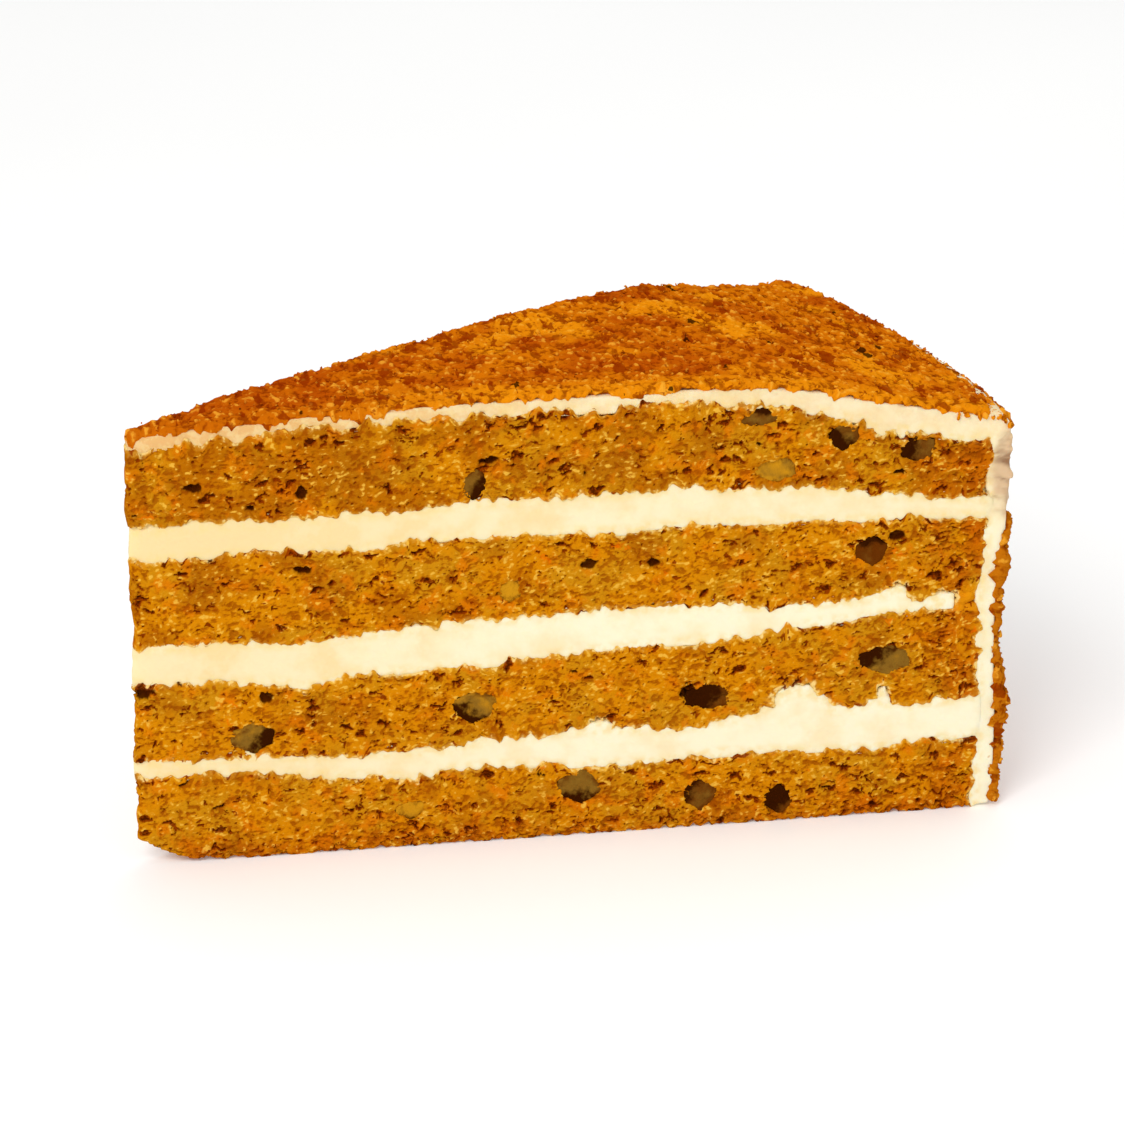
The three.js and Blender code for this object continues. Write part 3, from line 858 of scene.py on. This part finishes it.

# %% [markdown]
# The cream is nearly white with a warm tint, a little yellower where crumb dust and oil have soaked in at
# its edges and towards the tip, and darker higher up as painted shade. The thin coat is dusted more. Its
# bare part is tinted greyer as painted shade, and brown in the hollows between its ridges, partly as dust
# and partly as painted shade. Light goes a short way into cream, which softens the small shadows.

# %% Cream material and pieces


def cream_material(coat):
    material, graph, shader = new_material("dusted cream coat" if coat else "cream filling", 0.6, 0.2)
    place = graph.place()
    along = graph.dot(place, ALONG)
    height = graph.dot(place, UP)
    soaked = graph.patches(place, 0.12, 0.42, 0.7, detail=4.0, roughness=0.6)
    to_tip = graph.ramp(along, 10.0, -70.0)
    soaked = graph.times_plus(to_tip, 0.7, graph.times(soaked, 0.5))
    # Painted shade: from 44 mm up the cream also gets more of the darker, yellower tint.
    soaked = graph.times_plus(graph.ramp(height, 44.0, 50.0), 0.35, soaked)
    soaked = graph.math("MINIMUM", soaked, 1.0)
    colour = graph.between(soaked, (247, 238, 206), (240, 214, 158))
    soak = graph.times(graph.attribute("soak"), graph.patches(place, 0.6, 0.35, 0.65))
    colour = graph.tint(colour, soak, 0.7, (242, 212, 140))
    if coat:
        dust = graph.patches(place, 0.5, 0.4, 0.62, detail=4.0, roughness=0.65)
        upper = graph.times_plus(to_tip, 0.9, 0.25)
        upper = graph.times(graph.ramp(height, 60.0, 66.0), upper)
        dusted = graph.times(upper, graph.times_plus(dust, 0.7, 0.5))
        colour = graph.blend(dusted, colour, screen_colour(228, 178, 112))
        outer = graph.times(graph.ramp(along, 64.5, 67.0), graph.ramp(height, 66.0, 62.0))
        colour = graph.blend(graph.times(outer, graph.times_plus(dust, 0.5, 0.2)),
                             colour, screen_colour(222, 180, 128))
    # Painted shade on the bare side: it is tinted greyer, and brown in the hollows between its ridges, which
    # is partly dust and partly painted shade.
    bare = bare_side(graph, place)
    hollows = graph.ramp(graph.attribute("ridge"), 0.55, 0.38)
    colour = graph.tint(colour, bare, 0.9, (212, 178, 140))
    colour = graph.tint(colour, graph.times(bare, hollows), 0.8, (136, 92, 56))
    colour = graph.blend(graph.attribute("speck"), colour, screen_colour(206, 126, 34))
    shader.inputs["Subsurface Weight"].default_value = 0.25
    shader.inputs["Subsurface Radius"].default_value = (0.0022, 0.0014, 0.0008)
    shader.inputs["Subsurface Scale"].default_value = 1.0
    finish_material(graph, shader, colour, graph.noise(place, 1.3, detail=3.0), 0.12)
    return material


def cream_piece(node, name, size, material):
    piece = copy_of(node, name)
    run_tree(piece, into_sponge)
    run_tree(piece, into_crumbs if node == "cream_coat" else into_coat)
    fingers = [finger[1:] for finger in CREAM_FINGERS if finger[0] == node]
    if fingers:
        join_into(piece, [lump_at(*finger, FINGER_DEPTH) for finger in fingers])
    hold_back(piece, CREAM_INSET * MM)
    even_faces(piece, size)
    refine(piece, facing(piece, FRONT_NORMAL), 1)
    dissolve(piece, np.abs(face_normals(piece)[:, 2]) > LEVEL_CREAM)
    run_tree(piece, cream_tree)
    hold_back(piece, FINISHED_INSET * MM)
    dress(piece, material, "cream", [node])


into_sponge = growth("cream into sponge", SPONGE_NODES, CREAM_GROWTH)
into_crumbs = growth("cream into crumbs", ["crumb_top", "crumb_side"], CRUMB_GROWTH)
into_coat = growth("filling into coat", ["cream_coat"], COAT_GROWTH)
cream_tree = cream_relief()
filling_finish = cream_material(coat=False)
for number in (1, 2, 3):
    cream_piece("cream_%d" % number, "cream_filling_%d" % number, FILLING_FACES * MM, filling_finish)
cream_piece("cream_coat", "cream_coat_outside", COAT_FACES * MM, cream_material(coat=True))

# %% [markdown]
# ## Crumbs on the top and the side
# The coat was covered with cake crumbs rubbed fine by hand. A bed of grains lies close on the cream, and
# loose crumbs of many sizes lie on the bed and break its outline. The bed is the CAD piece with the same kind
# of relief as the sponge, finer and deeper, and its hidden underside is dissolved to a few large faces. The
# loose crumbs start as small balls that are scattered by Geometry Nodes, made real and crumpled by noise
# until no ball is left, in one mesh for the top, one for the side and one for the shoulder between them.

# %% Crumb beds and loose crumbs
# These are millimetres. The shoulder is cut off below its foot, and a little higher close to the front cut.
BED_FACES = 0.5
SHOULDER_FACES = 0.8
BED_HIDDEN_DEPTH = 3
SHOULDER_RADIUS = 128
SHOULDER_FOOT = 60.5
FRONT_FOOT = 62.5
FRONT_STRIP = 5


def bed_relief():
    graph, start, end = geometry_tree("bed relief")
    position = graph.position()
    place = graph.place()
    normal = graph.normal()
    along = graph.dot(place, ALONG)
    stretched = graph.stretched(graph.warped(place, 0.6, 0.8), (1, 0.7, 1))
    body = crumb_body(graph, stretched, 0.5, 1.1, 1.1, grain_share=0.3)
    lumps = graph.swing(place, 0.2)
    outer = graph.ramp(graph.dot(place, UP), 62.0, 58.0)
    lumps = graph.times(lumps, graph.times_plus(outer, 1.4, 1.0))
    lumps = graph.times_plus(outer, 0.25, lumps)
    height = graph.times_plus(body, graph.times_plus(outer, 0.5, 1.3), lumps)

    # Crumbs hang over the edge of the cream below them, unevenly and most of all at the tip.
    gap, edge_place, to_edge = towards(graph, position, ["cream_coat"])
    waves = graph.noise(edge_place, 0.55, detail=1.5, roughness=0.6)
    waves = graph.times_plus(graph.ramp(along, 10.0, -50.0), 0.13, waves)
    waves = graph.times_plus(graph.ramp(along, -63.5, -66.5), 0.3, waves)
    reach = graph.times(graph.minus(waves, 0.43), graph.ramp(gap, 1.3, 0.3))
    hang = graph.scaled(to_edge, graph.times(reach, 4.2 * MM))
    move = graph.shifted(graph.scaled(normal, graph.times(height, MM)), hang)
    move = graph.shifted(move, worn_tip(graph, place))
    stored = store(graph, start, {"body": body})
    return moved_tree(graph, stored, move, end)


def scatter_crumbs(name, density, least, most, seed):
    """Crumbs over the faces that look outwards, each turned, sized and tinted by chance."""
    graph, start, end = geometry_tree(name)
    normal = graph.normal()
    outwards = graph.dot(normal, graph.outward_direction())
    in_front = graph.dot(normal, FRONT_NORMAL)
    shown = graph.math("GREATER_THAN", graph.larger(outwards, in_front), 0.4)
    spread = graph.add("GeometryNodeDistributePointsOnFaces",
                       {"Mesh": start, "Selection": shown, "Density": density, "Seed": seed})
    ball = graph.add("GeometryNodeMeshIcoSphere", {"Radius": 0.5 * MM, "Subdivisions": 2})
    chance = graph.random(0.0, 1.0, seed + 1)
    size = graph.times_plus(graph.math("POWER", chance, 2.5), most - least, least)
    shape = graph.random((0.75, 0.75, 0.5), (1.3, 1.2, 0.9), seed + 2)
    turn = graph.random((0, 0, 0), (6.3, 6.3, 6.3), seed + 3)
    inputs = {"Points": spread.outputs["Points"], "Instance": ball.outputs[0], "Rotation": turn,
              "Scale": graph.scaled(shape, size)}
    crumbs = graph.add("GeometryNodeInstanceOnPoints", inputs)
    tinted = {"Geometry": crumbs.outputs[0], "Name": "body", "Value": graph.random(-0.16, 0.2, seed + 4)}
    stored = graph.add("GeometryNodeStoreNamedAttribute", tinted, data_type="FLOAT", domain="INSTANCE")
    real = graph.add("GeometryNodeRealizeInstances", {0: stored.outputs[0]})
    place = graph.place()
    push = graph.push(place, 1.2, detail=3.0, roughness=0.7)
    return moved_tree(graph, real.outputs[0], graph.scaled(push, 1.5 * MM), end)


def crumb_material():
    material, graph, shader = new_material("toasted crumbs", 0.95, 0.0)
    place = graph.place()
    along = graph.dot(place, ALONG)
    height = graph.dot(place, UP)
    fine = graph.noise(place, 2.0)
    grain = graph.times_plus(graph.minus(fine, 0.5), 0.25, graph.attribute("body"))
    ragged = graph.warped(graph.warped(graph.stretched(place, (1, 0.5, 1)), 0.5, 1.6), 1.4, 0.7)

    toasting = graph.noise(place, 0.07, detail=4.0, roughness=0.6)
    toasting = graph.times_plus(graph.ramp(along, 0.0, -40.0), 0.1, toasting)
    toasting = graph.ramp(toasting, 0.4, 0.62)
    colour = graph.between(toasting, (212, 114, 6), (184, 80, 4))
    bright = graph.patches(graph.shifted(place, (12, 55, 3)), 0.07, 0.5, 0.62, detail=3.0)
    behind = graph.dot(graph.vector("SUBTRACT", place, on_front(0, 0) / MM), INWARDS)
    front_edge = graph.times(graph.ramp(behind, 6.0, 1.0), 0.8)
    bright = graph.larger(bright, front_edge)
    bright = graph.times(bright, graph.times_plus(graph.ramp(along, -50.0, -5.0), 0.65, 0.35))
    colour = graph.tint(colour, bright, 0.85, (236, 144, 12))
    # Painted shade: crumbs on the side, below the top, are tinted darker because the side lies in shade.
    painted_side_shade = graph.ramp(height, 63.0, 59.0)
    colour = graph.tint(colour, painted_side_shade, 0.75, (176, 98, 12))
    # On the bed this is painted light on the relief: proud grains are tinted paler, partly their own colour
    # and partly a painted highlight, and hollows dark as painted shade. On loose crumbs the value is random,
    # one for each crumb.
    colour = graph.tint(colour, graph.ramp(grain, 0.04, 0.18), 0.65, (246, 172, 50))
    colour = graph.tint(colour, graph.ramp(grain, -0.04, -0.18), 0.7, (130, 40, 0))
    blotch_share = graph.times_plus(graph.ramp(along, 20.0, -40.0), 0.35, 0.65)
    blotch = graph.spots(ragged, 2.4, blotch_share, 0.9, 0.3)
    colour = graph.tint(colour, blotch, 0.8, (140, 42, 0))
    black = graph.spots(graph.shifted(ragged, (9, 27, 3)), 3.2, 0.2, 0.6, 0.2)
    colour = graph.tint(colour, black, 0.9, (46, 14, 0))
    finish_material(graph, shader, colour, fine, 0.25)
    return material


def top_facing(piece):
    return face_normals(piece)[:, 2]


def side_facing(piece):
    """For every face, how much it looks away from the cake's axis: 1 straight away from it."""
    away = (rows_of(piece.data.polygons, "center") - np.array(AXIS)) * (1, 1, 0)
    away /= np.linalg.norm(away, axis=1)[:, None]
    return (face_normals(piece) * away).sum(axis=1)


def crumb_bed(node, loose_tree, material):
    """The bed and the loose crumbs on it. Its faces on the cream stay coarse, because they are hidden."""
    bed = copy_of(node, node + "_bed")
    even_faces(bed, BED_FACES * MM)
    outwards = top_facing if node == "crumb_top" else side_facing
    hidden = np.logical_and(outwards(bed) < -FACING, behind_cuts(bed, BED_HIDDEN_DEPTH * MM))
    dissolve(bed, hidden)
    refine(bed, outwards(bed) > FACING, 1)
    loose = bed.copy()
    loose.data = bed.data.copy()
    loose.name = node + "_loose"
    bpy.context.scene.collection.objects.link(loose)
    run_tree(bed, bed_tree)
    dress(bed, material, "crumb", [node])
    run_tree(loose, loose_tree)
    dress(loose, material, "crumb", [])


def shoulder_crumbs(material):
    """Crumbs stick to the rounded edge between the two beds, but not to the bare part below it."""
    shoulder = copy_of("cream_coat", "crumb_shoulder_loose")
    even_faces(shoulder, SHOULDER_FACES * MM)
    middles = rows_of(shoulder.data.polygons, "center")
    outer = np.linalg.norm((middles - np.array(AXIS))[:, :2], axis=1) > SHOULDER_RADIUS * MM
    outer &= middles[:, 2] > SHOULDER_FOOT * MM
    outer &= side_facing(shoulder) + top_facing(shoulder) > 0.5
    at_front = middles[:, 1] - AXIS.y < FRONT_STRIP * MM
    outer &= np.logical_not(np.logical_and(at_front, middles[:, 2] < FRONT_FOOT * MM))
    edit_faces(shoulder, np.logical_not(outer))
    bpy.ops.mesh.delete(type="FACE")
    bpy.ops.object.mode_set(mode="OBJECT")
    run_tree(shoulder, scatter_crumbs("loose crumbs on the shoulder", 3.0e6, 0.65, 1.7, 21))
    dress(shoulder, material, "crumb", [])


bed_tree = bed_relief()
crumb_finish = crumb_material()
crumb_bed("crumb_top", scatter_crumbs("loose crumbs on top", 1.6e5, 0.25, 0.65, 3), crumb_finish)
crumb_bed("crumb_side", scatter_crumbs("loose crumbs at the side", 4.6e5, 0.4, 1.7, 8), crumb_finish)
shoulder_crumbs(crumb_finish)

# %% [markdown]
# ## Walnuts
# Chopped walnut shows at the cuts as grey to olive flesh, most of it with dark skin at one side. Crumb
# clings to every nut and hides its edge. So each CAD lump is grown into the sponge, and the sponge's ragged
# edge lies over it, as it does over the cream. A mask says how near a point is to the skin side, and noise
# makes the line between skin and flesh uneven.

# %% Walnuts
# These are millimetres.
NUT_GROWTH = 0.6
NUT_INSET = 0.1
NUT_FINISHED_INSET = 0.05
NUT_FACES = 0.3

# For each nut of the front cut: the side of its skin (across, up), the share of skin, and how pale it is.
NUT_LOOKS = {
    "walnut_01": (0.2, 1.0, 0.30, 0.42),
    "walnut_02": (-0.7, -0.7, 0.62, 0.40),
    "walnut_03": (-1.0, 0.1, 0.50, 0.40),
    "walnut_04": (0.3, -1.0, 0.05, 0.80),
    "walnut_05": (0.6, -0.8, 0.45, 0.45),
    "walnut_06": (-0.1, 1.0, 0.30, 0.25),
    "walnut_07": (-0.3, -1.0, 0.02, 1.00),
    "walnut_08": (-0.9, 0.5, 0.48, 0.62),
    "walnut_09": (-0.8, 0.3, 0.75, 0.30),
    "walnut_10": (-0.6, -0.8, 0.45, 0.72),
    "walnut_11": (0.9, -0.4, 0.42, 0.66),
    "walnut_12": (-0.3, -1.0, 0.35, 0.56),
    "walnut_13": (-0.8, 0.6, 0.30, 0.35),
    "walnut_14": (-0.6, 0.6, 0.75, 0.30),
    "walnut_15": (0.5, -0.9, 0.05, 0.92),
}


def nut_relief():
    graph, start, end = geometry_tree("nut relief")
    place = graph.place()
    push = graph.push(place, 0.4, detail=3.0, roughness=0.6)
    crumb = nearest(graph, SPONGE_NODES).outputs["Distance"]
    stored = store(graph, start, {"outline": graph.ramp(crumb, 1.0 * MM, 0.1 * MM)})
    return moved_tree(graph, stored, graph.scaled(push, 1.8 * MM), end)


def nut_material():
    material, graph, shader = new_material("walnut", 0.9, 0.0)
    place = graph.place()
    mottle = graph.swing(place, 0.5, detail=3.0)
    pale = graph.times_plus(mottle, 0.5, graph.attribute("pale"))
    flesh = graph.between(graph.ramp(pale, 0.2, 0.6), (98, 46, 5), (132, 94, 30))
    flesh = graph.blend(graph.ramp(pale, 0.6, 0.9), flesh, screen_colour(200, 138, 22))
    edge = graph.noise(place, 0.7, detail=4.0, roughness=0.6)
    skin = graph.times_plus(graph.minus(edge, 0.5), 0.8, graph.attribute("skin"))
    shaded = graph.times(graph.attribute("outline"), graph.ramp(edge, 0.4, 0.6))
    flesh = graph.tint(flesh, shaded, 0.75, (96, 46, 6))
    colour = graph.blend(graph.ramp(skin, 0.38, 0.66), flesh, screen_colour(52, 20, 2))
    finish_material(graph, shader, colour, graph.noise(place, 1.6, detail=3.0), 0.25)
    return material


def add_value(piece, name, values):
    attribute = piece.data.attributes.new(name, "FLOAT", "POINT")
    attribute.data.foreach_set("value", values)


def nut_piece(node, index):
    """One nut, with its skin mask: from 0 at the far side of the flesh to 1 at the skin side."""
    piece = copy_of(node, node + "_flesh")
    run_tree(piece, into_crumb)
    hold_back(piece, NUT_INSET * MM)
    even_faces(piece, NUT_FACES * MM)
    run_tree(piece, nut_tree)
    hold_back(piece, NUT_FINISHED_INSET * MM)
    points = rows_of(piece.data.vertices, "co")
    low, high = points.min(axis=0), points.max(axis=0)
    by_chance = (math.cos(2.4 * index), math.sin(2.4 * index), 0.35, 0.4 + 0.15 * (index % 4))
    across, up, share, pale = NUT_LOOKS.get(node, by_chance)
    side = ((points - low) / (high - low) * 2 - 1) @ np.array((across, 0, up)) / math.hypot(across, up)
    add_value(piece, "skin", np.clip(side / 2 + share, 0, 1))
    add_value(piece, "pale", np.full(len(points), pale))
    return piece


into_crumb = growth("nut into crumb", SPONGE_NODES, NUT_GROWTH)
nut_tree = nut_relief()
nut_finish = nut_material()
nuts = [nut_piece(node, index) for index, node in enumerate(NUT_NODES)]
join_into(nuts[0], nuts[1:])
nuts[0].name = "walnut_pieces"
dress(nuts[0], nut_finish, "walnut", NUT_NODES)

# %% [markdown]
# ## Floor and light
# The slice stands on a plain pale floor in soft light from all round, with one large soft lamp high at the
# front left that gives the crumb its small shadows. A floor that is as bright as the sky round it keeps the
# ground white, as in a packshot.

# %% Floor and light
bpy.ops.mesh.primitive_plane_add(size=6, location=(0, 0, -0.02 * MM))
floor = bpy.context.object
floor.name = "floor"
floor_finish, graph, shader = new_material("pale floor", 0.6, 0.5)
tone = graph.patches(graph.position(), 3.0, 0.3, 0.7)
shade = graph.between(tone, (249, 249, 248), (252, 252, 251))
graph.feed(shader.inputs["Base Color"], shade)
graph.feed(shader.inputs["Emission Color"], shade)
shader.inputs["Emission Strength"].default_value = 0.13
floor.data.materials.append(floor_finish)
floor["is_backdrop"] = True

world = bpy.data.worlds.new("studio")
world.use_nodes = True
world.node_tree.nodes["Background"].inputs["Color"].default_value = (1.0, 1.0, 1.0, 1.0)
world.node_tree.nodes["Background"].inputs["Strength"].default_value = 0.64
bpy.context.scene.world = world


def soft_lamp(name, place, size, power):
    bpy.ops.object.light_add(type="AREA", location=place)
    lamp = bpy.context.object
    lamp.name = name
    lamp.data.size = size
    lamp.data.energy = power
    lamp.rotation_euler = (CAMERA_TARGET - Vector(place)).to_track_quat("-Z", "Y").to_euler()
    return lamp


soft_lamp("key lamp", (-0.45, -0.75, 0.85), 0.5, 6.6)
soft_lamp("top lamp", (0.25, 0.35, 0.95), 0.6, 1.4)
bpy.context.scene.view_settings.view_transform = "Standard"
bpy.context.scene.view_settings.look = "None"

# %% [markdown]
# ## Handing the pieces over
# Now every piece takes the place of its CAD nodes. The box of all that is shown is kept beside the box of
# the CAD model, to see that the dressing didn't make the slice larger.

# %% Hand over
for piece, slot, nodes in dressed:
    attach(piece, "root")
    if nodes:
        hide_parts(*nodes)

dressed_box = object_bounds()
boxes = {"cad": [list(corner) for corner in cad_box], "dressed": [list(corner) for corner in dressed_box]}
for name, box in boxes.items():
    print(name, [[round(v / MM, 2) for v in corner] for corner in box])
